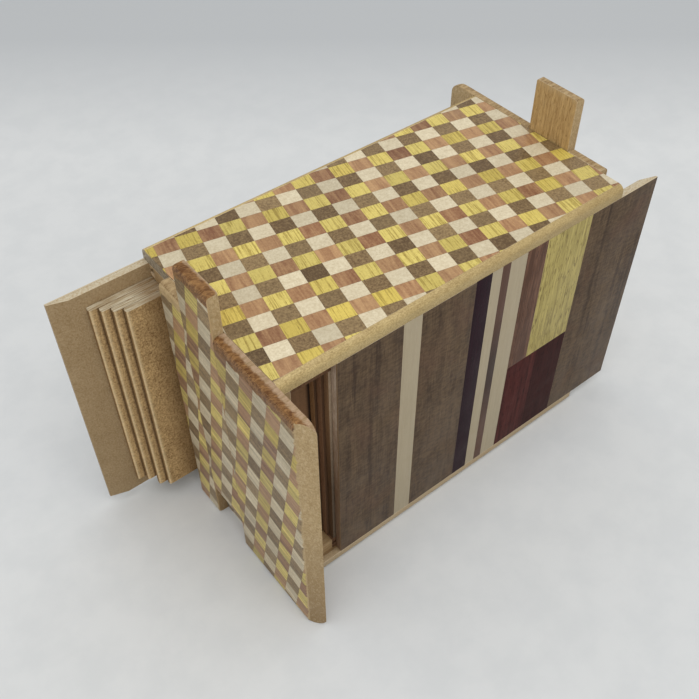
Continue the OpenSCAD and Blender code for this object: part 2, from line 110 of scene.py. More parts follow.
class PUZZLE_PG_colours(bpy.types.PropertyGroup):
    cream: swatch("Cream tile", "Pale tile wood", 225, 213, 183)
    cream_dark: swatch("Cream grain", "Darker grain of it", 195, 179, 146)
    yellow: swatch("Yellow tile", "Yellow tile wood", 222, 203, 113)
    yellow_deep: swatch("Golden tile", "Deeper yellow of some tiles", 208, 182, 78)
    yellow_streak: swatch("Yellow streak", "Dark streak in the yellow wood", 150, 125, 49)
    brown: swatch("Brown tile", "Grey brown tile wood", 159, 134, 93)
    brown_dark: swatch("Brown fleck", "Dark fleck in the brown wood", 95, 72, 43)
    russet: swatch("Russet tile", "Red brown tile wood", 199, 159, 113)
    russet_dark: swatch("Dark russet", "Deeper red brown tile wood", 129, 85, 56)
    russet_end: swatch("End russet tile", "Red brown tile of an end piece", 189, 148, 105)
    russet_end_dark: swatch("Dark end russet", "Purple brown of such a tile", 119, 75, 53)
    edge: swatch("Edge strip", "Pale strip along the lid", 213, 190, 135)
    edge_dark: swatch("Edge strip fleck", "Its darker flecks", 146, 120, 73)
    foot: swatch("Bottom strip", "Duller strip along the bottom", 190, 170, 138)
    foot_dark: swatch("Bottom strip fleck", "Its darker flecks", 158, 136, 102)
    deck: swatch("Deck board", "Cut end of the lid board", 171, 159, 138)
    deck_dark: swatch("Deck grain", "Dark grain of the lid board", 118, 104, 85)
    bottom: swatch("Bottom board", "Brown inner face of the bottom", 150, 122, 82)
    bottom_dark: swatch("Bottom board grain", "Dark grain of it", 112, 86, 52)
    frame: swatch("Frame wood", "Light wood of walls and blocks", 181, 155, 114)
    frame_dark: swatch("Frame grain", "Dark grain of walls and blocks", 141, 111, 74)
    board: swatch("Fibreboard", "Brown fibreboard", 174, 150, 115)
    board_dark: swatch("Fibreboard fleck", "Dark fibres in it", 142, 117, 80)
    coarse: swatch("Coarse board", "Fuzzy board of the slats", 214, 180, 127)
    coarse_dark: swatch("Coarse fleck", "Dark fibres in it", 128, 97, 60)
    board_top: swatch("Sanded fibreboard", "Pale upper edge of it", 200, 189, 163)
    core_end: swatch("End grain", "Orange brown upper end of a core", 162, 121, 74)
    core_end_dark: swatch("End grain streak", "Dark streak in it", 98, 62, 30)
    lining_top: swatch("Lining top", "Pinkish tan inner layer", 177, 149, 121)
    plain_top: swatch("Plain top", "Tan upper end of an unrubbed core", 178, 153, 113)
    plain_top_dark: swatch("Plain top streak", "Dark pores in it", 122, 94, 56)
    inner: swatch("Inner face", "Inner face of a middle piece", 224, 190, 132)
    inner_dark: swatch("Inner face grain", "Dark upright grain on it", 146, 112, 66)
    walnut: swatch("Walnut strip", "Grey brown veneer", 117, 95, 69)
    walnut_dark: swatch("Walnut grain", "Dark grain in it", 64, 47, 32)
    light: swatch("Light strip", "Pale veneer strip", 180, 166, 138)
    light_dark: swatch("Light strip grain", "Its darker grain", 164, 149, 122)
    purple: swatch("Purple strip", "Near black purple veneer", 46, 14, 28)
    purple_dark: swatch("Purple grain", "Dark grain in it", 26, 6, 16)
    russet_strip: swatch("Russet strip", "Reddish veneer", 132, 95, 73)
    russet_strip_dark: swatch("Russet grain", "Dark grain in it", 86, 58, 43)
    yellow_strip: swatch("Yellow block", "Yellow veneer", 209, 191, 112)
    yellow_strip_dark: swatch("Yellow fleck", "Dark upright flecks in it", 125, 107, 50)
    red: swatch("Dark red block", "Dark red veneer", 93, 48, 44)
    red_dark: swatch("Dark red grain", "Dark pores in it", 38, 18, 17)
    thin: swatch("Thin brown strip", "Dark brown veneer", 98, 70, 56)
    thin_dark: swatch("Thin brown grain", "Dark grain in it", 72, 48, 38)
    thin_grey: swatch("Thin brown middle", "Dark grey part of it", 56, 44, 38)
    red_brown: swatch("Dark brown red", "Browner half of the dark red block", 69, 35, 32)
    skin_edge: swatch("Veneer edge", "Sawn edge of an end veneer", 186, 158, 116)
    # Painted sheen that dulls the end pieces' tiles
    tile_sheen: swatch("End tile sheen", "Colour that the end tiles are dulled towards", 160, 142, 116)
    panel_end: swatch("Panel end", "Sawn end of the front panel", 214, 200, 184)
    panel_end_dark: swatch("Panel end fibre", "Darker fibres in it", 184, 164, 148)
    # Painted light and shade: the front slats are all of one board, and each slat's cut end and
    # face get their own lightness to stand in for how light falls in the recess
    slat_end_1: swatch("First slat end", "Cut end of the outermost front slat", 176, 143, 112)
    slat_end_2: swatch("Second slat end", "Cut end of the second front slat", 164, 130, 105)
    slat_end_3: swatch("Third slat end", "Cut end of the third front slat", 187, 150, 112)
    slat_end_4: swatch("Inner slat end", "Cut end of the innermost front slat", 172, 136, 102)
    slat_face_1: swatch("First slat face", "Face of the outermost front slat", 183, 162, 137)
    slat_face_2: swatch("Second slat face", "Face of the second front slat", 96, 70, 49)
    slat_face_3: swatch("Third slat face", "Face of the third front slat", 90, 66, 46)
    slat_face_4: swatch("Inner slat face", "Face of the innermost front slat", 140, 106, 76)
    # Painted shade, low in the front recess and in the corner of two slats
    slat_shade: swatch("Slat shade", "Dust and shade in the corner of two slats", 30, 18, 9)
    slat_grain: swatch("Slat grain", "Dark grain of the front slats", 52, 34, 22)
    # Painted shadow at the foot of each step of the back slats
    slat_step_shadow: swatch("Slat groove", "Dirt at the foot of each step of the slats", 72, 48, 26)
    # Painted highlight on the rounded left edges of the back slats
    slat_highlight: swatch("Slat edge highlight", "Bright rubbed edge of a back slat", 248, 226, 182)
    # Painted shade on the back slats' cut ends and where they enter the box
    back_slat_shade: swatch("Back slat shade", "Dark cut end of a back slat", 112, 82, 46)
    core: swatch("Core board", "Side of an end piece's core", 196, 170, 128)
    core_dark: swatch("Core fleck", "Dark fibres in it", 160, 134, 91)
    core_scratch: swatch("Core scratch", "Pale rubbed scratches on it", 222, 202, 168)
    # Painted shade on the lower part of a core's side
    core_low_shade: swatch("Low core shade", "Duller lower part of a core's side", 140, 114, 78)
    skin_side: swatch("Strip edge", "Cut edge of the long panels' veneer", 150, 126, 100)
    skin_top: swatch("Strip top", "Pale rubbed upper edge of that veneer", 196, 180, 150)
    worn: swatch("Rubbed wood", "Paler wood where an edge is rubbed", 232, 214, 182)
    warm: swatch("Warm patch", "Redder patches of the walnut veneer", 104, 72, 54)
    seam: swatch("Seam", "Dark line between two tiles", 96, 74, 50)
    # Painted shade: a dark wood for the front rails and for the shade low on the panel's sawn end
    inside: swatch("Shaded inside wood", "Dark wood behind the panels", 124, 92, 66)
    inside_dark: swatch("Inside grain", "Dark grain in it", 78, 52, 34)
    floor: swatch("Floor", "Plain pale paper", 218, 220, 220)
    floor_mottle: swatch("Floor mottle", "Faint darker patches of the paper", 206, 209, 210)
    # Painted falloff of light on the paper behind the box
    floor_falloff: swatch("Floor falloff", "The paper behind the box", 190, 193, 195)


def sizes():
    return bpy.context.scene.puzzle_sizes


def colours():
    return bpy.context.scene.puzzle_colours


# How deep the surface of each finish is
VENEER_BUMP = 0.03 * MM
WOOD_BUMP = 0.04 * MM
SLAT_BUMP = 0.05 * MM
STRIP_BUMP = 0.08 * MM
CORE_BUMP = 0.09 * MM
BOARD_BUMP = 0.1 * MM
FUZZY_BUMP = 0.14 * MM

# How rough each finish is, from 0 to 1
CHECKER_ROUGH = 0.46
WOOD_ROUGH = 0.5
SANDED_ROUGH = 0.55
DULL_ROUGH = 0.6
CORE_ROUGH = 0.66
BOARD_ROUGH = 0.74
DUSTY_ROUGH = 0.75

# Heights between which the painted shade low on the front panel's and slats' left ends, and on the
# cores, fades out
LOW_SHADE_Z = (42 * MM, 82 * MM)
CORE_LOW_SHADE_Z = (0, 66 * MM)

# The strips along the lid and the bottom darken from one end of the box to the other
DARKENING_X = (-75 * MM, 75 * MM)

# Seams between tiles, and between the halves of the dark red block
TILE_SEAM = (0.04 * MM, 0.16 * MM)
HALVES_SEAM = 0.3 * MM

# Rubbed edges of the end pieces: how unevenly and how softly they run, and how wide they are
RAGGED = 0.6 * MM
RUB_SOFTNESS = 0.15 * MM
FRONT_RUB = 0.5 * MM
FRONT_SOFTNESS = 0.2 * MM
INNER_RAGGED = 1.6 * MM
INNER_RUB = (0.4 * MM, 2.2 * MM)
OPEN_EDGE = (1.4 * MM, 0.9 * MM)
LINING_RAGGED = 0.5 * MM
LINING_SOFTNESS = 0.4 * MM

# Back slats: painted shadow at the foot of each step, a painted highlight near their left ends,
# painted shadow where they enter the box
STEP_SHADOW = 0.8 * MM
SLAT_HIGHLIGHT = (0.4 * MM, 1.5 * MM)
ENTRY_INSET = 2 * MM
ENTRY_SHADOW = (2.5 * MM, 8 * MM)

# Front slats' painted shadow in the corner of two slats, and the grey middle of the thin brown
# strip
CORNER_SHADE = (0.5 * MM, 1.5 * MM)
GREY_MIDDLE = (6 * MM, 30 * MM)

# Turns that bring each direction of the box onto the grain's own direction
GRAIN_ALONG = {"X": (0, 0, math.radians(90)), "Z": (math.radians(-90), 0, 0)}


# Helpers that lay out nodes

class Bench:
    """Holds the material and the node tree that the helpers below are laying out."""
    material = None
    tree = None


def put(kind, inputs=None, **settings):
    """Adds a node, sets its settings and fills or links its inputs."""
    node = Bench.tree.nodes.new(kind)
    for name, value in settings.items():
        setattr(node, name, value)
    for name, value in (inputs or {}).items():
        if isinstance(value, bpy.types.NodeSocket):
            Bench.tree.links.new(value, node.inputs[name])
        else:
            node.inputs[name].default_value = value
    return node


def calc(operation, *values):
    return put("ShaderNodeMath", dict(enumerate(values)), operation=operation).outputs[0]


def plus(first, second):
    return calc("ADD", first, second)


def minus(first, second):
    return calc("SUBTRACT", first, second)


def times(first, second):
    return calc("MULTIPLY", first, second)


def weigh(*parts):
    """Adds up values, each times its share, and keeps the sum between 0 and 1."""
    total = times(*parts[0])
    for value, share in parts[1:]:
        total = plus(total, times(value, share))
    total.node.use_clamp = True
    return total


def spread(value, low, high, to_low=0, to_high=1):
    """Stretches the part of a value between two limits over another range."""
    return put("ShaderNodeMapRange", {
        "Value": value, "From Min": low, "From Max": high,
        "To Min": to_low, "To Max": to_high}).outputs["Result"]


def fade(value, low, high, share=1):
    """A share that falls to nothing between two limits."""
    return spread(value, low, high, share, 0)


def wander(value, reach):
    """Turns noise into a distance to either side, for a line that runs unevenly."""
    return spread(value, 0.3, 0.7, -reach, reach)


def away_from(value, spot):
    """How far a value is from a given one, to either side."""
    return calc("ABSOLUTE", minus(value, spot))


def blend(factor, first, second):
    return put("ShaderNodeMix", {0: factor, 6: first, 7: second}, data_type="RGBA").outputs[2]


def brighten(value, colour):
    return put("ShaderNodeHueSaturation", {"Value": value, "Color": colour}).outputs[0]


def stretch(vector, amounts):
    return put("ShaderNodeVectorMath", {0: vector, 1: amounts}, operation="MULTIPLY").outputs[0]


def shift(vector, amounts):
    return put("ShaderNodeVectorMath", {0: vector, 1: amounts}, operation="ADD").outputs[0]


def join_xyz(**parts):
    return put("ShaderNodeCombineXYZ", parts).outputs[0]


def part_of(vector, axis):
    return put("ShaderNodeSeparateXYZ", {0: vector}).outputs[axis]


def noise(vector, scale, detail=3, rough=0.6, warp=0):
    """Noise whose scale says how many patches of it lie along a metre."""
    return put("ShaderNodeTexNoise", {
        "Vector": vector, "Scale": scale, "Detail": detail, "Roughness": rough,
        "Distortion": warp}).outputs["Fac"]


def drawn_noise(vector, scales, detail=3, rough=0.6, warp=0):
    """Noise with a scale of its own along each direction, so that it is drawn out or squeezed."""
    return noise(stretch(vector, scales), 1, detail, rough, warp)


def new_group(name, inputs, outputs, kind="ShaderNodeTree"):
    """An empty group with named sockets. Gives what comes in, and the node for what goes out."""
    Bench.tree = bpy.data.node_groups.new(name, kind)
    for way, sockets in (("INPUT", inputs), ("OUTPUT", outputs)):
        for label, socket in sockets.items():
            Bench.tree.interface.new_socket(label, in_out=way, socket_type=socket)
    return put("NodeGroupInput").outputs, put("NodeGroupOutput")


def give_out(end, values):
    for label, value in values.items():
        Bench.tree.links.new(value, end.inputs[label])


def use_group(name, inputs):
    return put("ShaderNodeGroup", inputs, node_tree=bpy.data.node_groups[name]).outputs


FLOAT = "NodeSocketFloat"
VECTOR = "NodeSocketVector"


def build_grain_group():
    """Wood grain along the vector's Y: slow streaks, fine fibres, dark pores and a height."""
    start, end = new_group(
        "Wood grain",
        {"Vector": VECTOR, "Scale": FLOAT, "Waviness": FLOAT},
        {"Streak": FLOAT, "Fibre": FLOAT, "Pore": FLOAT, "Height": FLOAT})
    base = put("ShaderNodeVectorMath", {0: start["Vector"], "Scale": start["Scale"]},
               operation="SCALE").outputs[0]
    slow = drawn_noise(base, (1, 0.06, 1), 4)
    bend = join_xyz(X=times(slow, start["Waviness"]))
    moved = shift(base, bend)
    streak = drawn_noise(moved, (1.3, 0.05, 1.3), 5, 0.62)
    fibre = drawn_noise(moved, (6, 0.35, 6))
    pores = drawn_noise(moved, (3.6, 0.42, 3.6), 2, 0.5)
    pore = spread(pores, 0.6, 0.72)
    give_out(end, {
        "Streak": spread(streak, 0.32, 0.68),
        "Fibre": spread(fibre, 0.3, 0.7),
        "Pore": pore,
        "Height": minus(plus(fibre, streak), pore)})


def build_tile_group():
    """Checker of tiles: which column and row is odd, random values for each tile, its seams."""
    start, end = new_group(
        "Tile sheet",
        {"Vector": VECTOR, "Tile Length": FLOAT, "Tile Width": FLOAT},
        {"Odd Column": FLOAT, "Odd Row": FLOAT, "Random": FLOAT, "Second Random": FLOAT,
         "Seam": FLOAT, "Grain Vector": VECTOR})
    along = calc("DIVIDE", part_of(start["Vector"], "X"), start["Tile Length"])
    across = calc("DIVIDE", part_of(start["Vector"], "Y"), start["Tile Width"])
    column = calc("FLOOR", along)
    row = calc("FLOOR", across)
    white = put("ShaderNodeTexWhiteNoise", {"Vector": join_xyz(X=column, Y=row)},
                noise_dimensions="3D").outputs["Color"]
    split = put("ShaderNodeSeparateColor", {0: white}).outputs

    def border(value, size):
        fraction = calc("FRACT", value)
        nearest = calc("MINIMUM", fraction, minus(1, fraction))
        return times(nearest, size)
    near = calc("MINIMUM", border(along, start["Tile Length"]),
                border(across, start["Tile Width"]))
    far = stretch(white, (0.9, 0.7, 0.8))
    give_out(end, {
        "Odd Column": calc("FLOORED_MODULO", column, 2),
        "Odd Row": calc("FLOORED_MODULO", row, 2),
        "Random": split[0],
        "Second Random": split[1],
        "Seam": fade(near, *TILE_SEAM),
        "Grain Vector": shift(start["Vector"], far)})


def build_fibre_group():
    """Pressed fibreboard: fine flecks, sparse darker fibres, soft clouds and a fuzzy height."""
    start, end = new_group(
        "Pressed fibre",
        {"Vector": VECTOR},
        {"Fleck": FLOAT, "Fibre": FLOAT, "Cloud": FLOAT, "Height": FLOAT})
    fine = noise(start["Vector"], 1500, 3, 0.7)
    strands = drawn_noise(start["Vector"], (1000, 1000, 480), 3, 0.6, 1.2)
    cloud = noise(start["Vector"], 130, 3, 0.5)
    give_out(end, {
        "Fleck": spread(fine, 0.36, 0.64),
        "Fibre": spread(strands, 0.53, 0.64),
        "Cloud": spread(cloud, 0.32, 0.68),
        "Height": plus(fine, strands)})


def build_handling_group():
    """Years of handling: dull smudges and a few fine scratches."""
    start, end = new_group("Handling", {"Vector": VECTOR}, {"Smudge": FLOAT, "Scratch": FLOAT})
    smudge = noise(start["Vector"], 55, 4, 0.6, 0.5)
    thin = drawn_noise(start["Vector"], (90, 1500, 90), 2, 0.4)
    give_out(end, {"Smudge": spread(smudge, 0.35, 0.7), "Scratch": spread(thin, 0.68, 0.74)})


# Materials

def new_material(name):
    """Puts an empty material on the bench and gives the piece's own coordinates."""
    Bench.material = bpy.data.materials.new(name)
    Bench.material.use_nodes = True
    Bench.tree = Bench.material.node_tree
    Bench.tree.nodes.clear()
    return put("ShaderNodeTexCoord").outputs["Object"]


def add_shader(inputs):
    shader = put("ShaderNodeBsdfPrincipled", inputs)
    put("ShaderNodeOutputMaterial", {"Surface": shader.outputs[0]})


def finish_wood(place, colour, height, rough, bump, gloss=0.35, wear=1):
    """Wear on the arrises, smudged gloss and a fine bump, the same way on every wood."""
    arris = put("ShaderNodeAttribute", attribute_name="arris").outputs["Fac"]
    lighter = blend(0.5, colour, colours().worn)
    handled = use_group("Handling", {"Vector": place})
    patchy = times(times(arris, wear), spread(handled["Smudge"], 0, 1, 0.35, 0.9))
    dull = spread(handled["Smudge"], 0, 1, rough - 0.06, rough + 0.08)
    relief = put("ShaderNodeBump", {"Height": height, "Strength": 1, "Distance": bump})
    add_shader({
        "Base Color": blend(patchy, colour, lighter),
        "Roughness": plus(dull, times(handled["Scratch"], 0.06)),
        "Specular IOR Level": gloss,
        "Normal": relief.outputs[0]})
    return Bench.material


def turned(place, turn):
    return put("ShaderNodeMapping", {"Vector": place, "Rotation": Euler(turn)}).outputs[0]


def wood_grain(vector, scale, waviness):
    return use_group("Wood grain", {"Vector": vector, "Scale": scale, "Waviness": waviness})


def grain_along(place, direction, scale, waviness):
    """Wood grain that runs along one direction of the box."""
    return wood_grain(turned(place, GRAIN_ALONG[direction]), scale, waviness)


def facing(direction, low=0.6, high=0.9):
    """How squarely a face looks along one direction of the box, X, Y or Z, either way."""
    normal = put("ShaderNodeNewGeometry").outputs["Normal"]
    return spread(calc("ABSOLUTE", part_of(normal, direction)), low, high)


def sawn_ends(place, colour, cut):
    """Gives the faces that look to either end of the box a speckled sawn colour."""
    speck = noise(place, 900, 3, 0.65)
    sawn = blend(spread(speck, 0.35, 0.65), *cut)
    return blend(facing("X"), colour, sawn)


def wood(name, pale, dark, along, scale=700, streaks=0.6, fibres=0.35, pores=0.5,
         rough=WOOD_ROUGH, gloss=0.35, cut=None, wear=1):
    """A plain wood whose grain runs along one direction of the box."""
    place = new_material(name)
    grain = grain_along(place, along, scale, 0.6)
    amount = weigh((grain["Streak"], streaks), (grain["Fibre"], fibres), (grain["Pore"], pores))
    colour = blend(amount, pale, dark)
    if cut:
        colour = sawn_ends(place, colour, cut)
    return finish_wood(place, colour, grain["Height"], rough, WOOD_BUMP, gloss, wear)


def figured_wood(name, pale, dark):
    """Veneer with soft flames, dark upright lines and a fine ripple across them."""
    place = new_material(name)
    grain = grain_along(place, "Z", 420, 1.2)
    flame = drawn_noise(place, (150, 150, 48), 4, 0.62, 1)
    ripple = drawn_noise(place, (420, 420, 1100), 3, 0.6, 0.5)
    line = drawn_noise(place, (300, 300, 9), 3, 0.6, 0.15)
    warm = drawn_noise(place, (60, 60, 45), 2, 0.5, 0.6)
    amount = weigh((spread(flame, 0.32, 0.68), 0.34), (grain["Streak"], 0.22),
                   (spread(ripple, 0.38, 0.62), 0.34),
                   (spread(line, 0.54, 0.7), 0.4), (grain["Fibre"], 0.34))
    colour = blend(amount, pale, dark)
    colour = blend(spread(warm, 0.5, 0.75, 0, 0.35), colour, colours().warm)
    colour = blend(facing("X"), colour, colours().skin_side)
    colour = blend(facing("Z"), colour, colours().skin_top)
    return finish_wood(place, colour, grain["Height"], WOOD_ROUGH, VENEER_BUMP, 0.2, 0.5)


def dark_red_wood(name):
    """Dark red veneer made of a redder left half and a browner right half."""
    tint = colours()
    place = new_material(name)
    grain = grain_along(place, "Z", 600, 0.9)
    low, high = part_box("strip_dark_red")
    middle = (low[0] + high[0]) / 2
    half = spread(part_of(place, "X"), middle - HALVES_SEAM, middle + HALVES_SEAM)
    base = blend(half, tint.red, tint.red_brown)
    amount = weigh((grain["Streak"], 0.55), (grain["Pore"], 0.7), (grain["Fibre"], 0.3))
    colour = blend(amount, base, tint.red_dark)
    return finish_wood(place, colour, grain["Height"], DULL_ROUGH, VENEER_BUMP, 0.08, 0.4)


def thin_brown_wood(name):
    """Thin brown strip that turns dark grey about its middle."""
    tint = colours()
    place = new_material(name)
    grain = grain_along(place, "Z", 700, 0.6)
    low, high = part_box("strip_thin_brown")
    away = away_from(part_of(place, "Z"), low[2] + 0.5 * (high[2] - low[2]))
    dusk = fade(away, *GREY_MIDDLE, 0.8)
    colour = blend(times(grain["Streak"], 0.5), tint.thin, tint.thin_dark)
    colour = blend(dusk, colour, tint.thin_grey)
    return finish_wood(place, colour, grain["Height"], WOOD_ROUGH, VENEER_BUMP, 0.2, 0.4)


def mottled_strip(name, pale, dark, cut):
    """Solid strip along the lid or the bottom, mottled, and darker towards its right end."""
    place = new_material(name)
    fine = drawn_noise(place, (1500, 2400, 2400), 3, 0.7)
    patch = drawn_noise(place, (160, 400, 400))
    amount = weigh((spread(fine, 0.38, 0.64), 0.6), (spread(patch, 0.35, 0.7), 0.3))
    colour = blend(amount, pale, dark)
    rightward = spread(part_of(place, "X"), *DARKENING_X, 0, 0.45)
    colour = sawn_ends(place, blend(rightward, colour, dark), cut)
    return finish_wood(place, colour, fine, SANDED_ROUGH, STRIP_BUMP, 0.3)


def tile_colour(vector, length, width, reds):
    """Colour and height of the four kinds of tile, each with its own grain."""
    tint = colours()
    tiles = use_group("Tile sheet", {"Vector": vector, "Tile Length": length, "Tile Width": width})
    own, chance = tiles["Grain Vector"], tiles["Second Random"]
    grain = wood_grain(own, 1250, 0.4)
    streak, pore = grain["Streak"], grain["Pore"]
    blotch = spread(noise(own, 420), 0.3, 0.7)
    speck = spread(noise(own, 1300, 3, 0.7), 0.36, 0.64)
    vein = spread(drawn_noise(own, (520, 60, 520), 3, 0.55, 0.8), 0.34, 0.66)
    cream = blend(weigh((blotch, 0.35), (speck, 0.6)), tint.cream, tint.cream_dark)
    shade = spread(chance, 0.3, 1, 0, 0.5)
    amount = weigh((pore, 0.3), (speck, 0.6), (blotch, 0.2), (shade, 1))
    brown = blend(amount, tint.brown, tint.brown_dark)
    deep = spread(chance, 0.35, 1)
    amount = weigh((deep, 0.38), (vein, 0.48), (streak, 0.2), (speck, 0.22))
    russet = blend(amount, *reds)
    thin = spread(streak, 0.5, 0.8)
    golden = spread(chance, 0.55, 1, 0, 0.7)
    ground = blend(golden, tint.yellow, tint.yellow_deep)
    amount = weigh((thin, 0.62), (pore, 0.5), (speck, 0.2))
    yellow = blend(amount, ground, tint.yellow_streak)
    first = blend(tiles["Odd Column"], cream, brown)
    second = blend(tiles["Odd Column"], russet, yellow)
    sheet = blend(tiles["Odd Row"], first, second)
    sheet = brighten(spread(tiles["Random"], 0, 1, 0.84, 1.12), sheet)
    sheet = blend(times(tiles["Seam"], 0.15), sheet, tint.seam)
    height = minus(grain["Height"], times(tiles["Seam"], 1.5))
    return sheet, height


def pattern_place(vector, corner, turn):
    """Coordinates that start at a tile's corner and run along the turned checker."""
    return put("ShaderNodeMapping", {
        "Vector": vector, "Location": (*corner, 0), "Rotation": Euler((0, 0, turn))},
        vector_type="TEXTURE").outputs[0]


def lid_checker():
    """Checker of the lid and the bottom."""
    size = sizes()
    place = new_material("Lid checker")
    local = pattern_place(place, (size.lid_x, size.lid_y), size.lid_turn)
    local = stretch(local, (1, -1, 1))
    reds = (colours().russet, colours().russet_dark)
    colour, height = tile_colour(local, size.lid_tile_l, size.lid_tile_w, reds)
    return finish_wood(place, colour, height, CHECKER_ROUGH, VENEER_BUMP)


def end_grain(place):
    """Colour and height of the rubbed upper end of an end piece, with slanted dark strokes."""
    slanted = turned(place, (0, 0, math.radians(34)))
    streak = drawn_noise(slanted, (230, 880, 520), 4, 0.62, 2)
    cloud = noise(place, 330, 3, 0.55, 0.8)
    amount = weigh((spread(streak, 0.36, 0.64), 0.8), (spread(cloud, 0.35, 0.65), 0.4))
    return blend(amount, colours().core_end, colours().core_end_dark), streak


def board_colour(place, pale, dark, shares=(0.62, 0.2, 0.22)):
    """Colour and height of pressed fibreboard, from its shares of fleck, fibre and cloud."""
    board = use_group("Pressed fibre", {"Vector": place})
    amount = weigh(*zip((board["Fleck"], board["Fibre"], board["Cloud"]), shares))
    return blend(amount, pale, dark), board["Height"]


def end_checker(name, side, corner, top_node, front_edge=None, tan_top=False):
    """Checker of one end piece, rubbed through along its top and at its front edge."""
    size, tint = sizes(), colours()
    place = new_material(name)
    rise = part_of(place, "Z")
    across = times(part_of(place, "Y"), -side)
    local = pattern_place(join_xyz(X=across, Y=rise), corner, size.end_turn)
    sheet = join_xyz(X=times(part_of(local, "Y"), -1), Y=times(part_of(local, "X"), -1))
    reds = (tint.russet_end, tint.russet_end_dark)
    colour, height = tile_colour(sheet, size.end_tile_h, size.end_tile_w, reds)
    # Painted sheen that dulls the end tiles
    colour = blend(0.22, colour, tint.tile_sheen)
    grain = wood_grain(sheet, 520, 0.8)
    colour = brighten(spread(grain["Streak"], 0, 1, 0.66, 1.3), colour)
    ragged = wander(noise(place, 260, 4, 0.65), RAGGED)
    board = board_colour(place, tint.core, tint.core_dark)[0]
    bare = board if tan_top else end_grain(place)[0]
    rub_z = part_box(top_node)[1][2] - size.rubbed
    depth = plus(minus(rise, rub_z), ragged)
    colour = blend(spread(depth, -RUB_SOFTNESS, RUB_SOFTNESS), colour, bare)
    if front_edge is not None:
        near = plus(minus(across, front_edge + FRONT_RUB), times(ragged, 0.8))
        front = fade(near, -FRONT_SOFTNESS, FRONT_SOFTNESS)
        colour = blend(front, colour, board)
    colour = blend(facing("Y", 0.8, 0.95), colour, tint.skin_edge)
    return finish_wood(place, colour, height, CHECKER_ROUGH, VENEER_BUMP, wear=0)


def fibreboard(name, sawn_end=False):
    """Brown fibreboard, paler and rougher where an edge faces up."""
    tint = colours()
    place = new_material(name)
    body, height = board_colour(place, tint.board, tint.board_dark)
    speck = noise(place, 1300, 3, 0.65)
    pale = blend(spread(speck, 0.4, 0.7), tint.board_top, tint.board)
    colour = blend(facing("Z"), body, pale)
    if sawn_end:
        fuzz = drawn_noise(place, (900, 900, 260), 3, 0.65)
        cut = blend(spread(fuzz, 0.36, 0.64), tint.panel_end, tint.panel_end_dark)
        # Painted shade on the lower part of the panel's sawn end, in the recess
        low_shade = fade(part_of(place, "Z"), *LOW_SHADE_Z, 0.76)
        cut = blend(low_shade, cut, tint.inside)
        colour = blend(facing("X"), colour, cut)
    wear = 0 if sawn_end else 1
    return finish_wood(place, colour, height, BOARD_ROUGH, BOARD_BUMP, 0.25, wear)


def back_slat_step():
    """How much further each back slat stands out than the next one."""
    return abs(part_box("back_slat_2")[0][0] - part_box("back_slat_1")[0][0])


def back_slat_board(name, step=0):
    """Fuzzy slat board: painted highlights on its edges, painted shade on its cut ends, painted
    shadow at each step and where it enters the box, and a pale streaky top.
    """
    tint = colours()
    place = new_material(name)
    body, height = board_colour(place, tint.coarse, tint.coarse_dark, (0.66, 0.3, 0.22))
    # Painted shade on the faces that look to either end
    cut = times(facing("X", 0.86, 0.98), 0.75)
    body = blend(cut, body, tint.back_slat_shade)
    end_face = facing("X", 0.8, 0.95)
    # Painted highlight on the rounded edges, found from the way each face looks
    rounded = minus(facing("X", 0.08, 0.4), end_face)
    from_end = put("ShaderNodeAttribute", attribute_name="from_end").outputs["Fac"]
    if step:
        # Painted shadow that the next slat's end casts at the foot of each step
        groove = spread(from_end, step - STEP_SHADOW, step, 0, 0.8)
        body = blend(groove, body, tint.slat_step_shadow)
    # Painted highlight near each slat's left end, fading along its face
    rubbed = times(fade(from_end, *SLAT_HIGHLIGHT, 0.32), minus(1, end_face))
    body = blend(weigh((rubbed, 1), (rounded, 0.1)), body, tint.slat_highlight)
    strand = drawn_noise(place, (90, 1400, 900), 4, 0.7, 0.5)
    pale = blend(spread(strand, 0.4, 0.64), tint.board_top, tint.board_dark)
    colour = blend(facing("Z"), body, pale)
    # Painted shadow of the left end piece where the slats enter the box
    entry_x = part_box("left_narrow_veneer")[0][0] + ENTRY_INSET
    away = away_from(part_of(place, "X"), entry_x)
    colour = blend(fade(away, *ENTRY_SHADOW, 0.55), colour, tint.back_slat_shade)
    return finish_wood(place, colour, height, BOARD_ROUGH, FUZZY_BUMP, 0.2)


def front_slat(name, face_colour, end_colour, shade_x=None, low_shade_share=0):
    """Slat behind the front panel, with a painted shadow in the corner where the next slat's end
    stands, and painted shade low down.
    """
    tint = colours()
    place = new_material(name)
    grain = grain_along(place, "Z", 500, 0.5)
    fuzz = use_group("Pressed fibre", {"Vector": place})
    # Painted light and shade: the cut end and the face get different lightness of the same board
    body = blend(facing("X"), face_colour, end_colour)
    amount = weigh((grain["Streak"], 0.22), (fuzz["Fleck"], 0.2))
    colour = blend(amount, body, tint.slat_grain)
    # Painted shade on the lower part of the slat, in the recess
    low_shade = fade(part_of(place, "Z"), *LOW_SHADE_Z, low_shade_share)
    colour = blend(low_shade, colour, tint.slat_shade)
    # Painted shadow in the corner beside the next slat's end
    if shade_x is not None:
        away = away_from(part_of(place, "X"), shade_x)
        colour = blend(fade(away, *CORNER_SHADE, 0.9), colour, tint.slat_shade)
    return finish_wood(place, colour, fuzz["Height"], DUSTY_ROUGH, SLAT_BUMP, 0.15, 0)


def middle_face(place, top_z):
    """Inner face of a middle piece: upright grain, and bare board under its ragged upper edge."""
    tint = colours()
    grain = grain_along(place, "Z", 1000, 0.5)
    amount = weigh((grain["Fibre"], 0.5), (grain["Pore"], 0.7), (grain["Streak"], 0.5))
    face = blend(amount, tint.inner, tint.inner_dark)
    jagged = drawn_noise(place, (900, 900, 120))
    below = plus(minus(top_z, part_of(place, "Z")), wander(jagged, INNER_RAGGED))
    return blend(fade(below, *INNER_RUB, 0.45), face, tint.core)


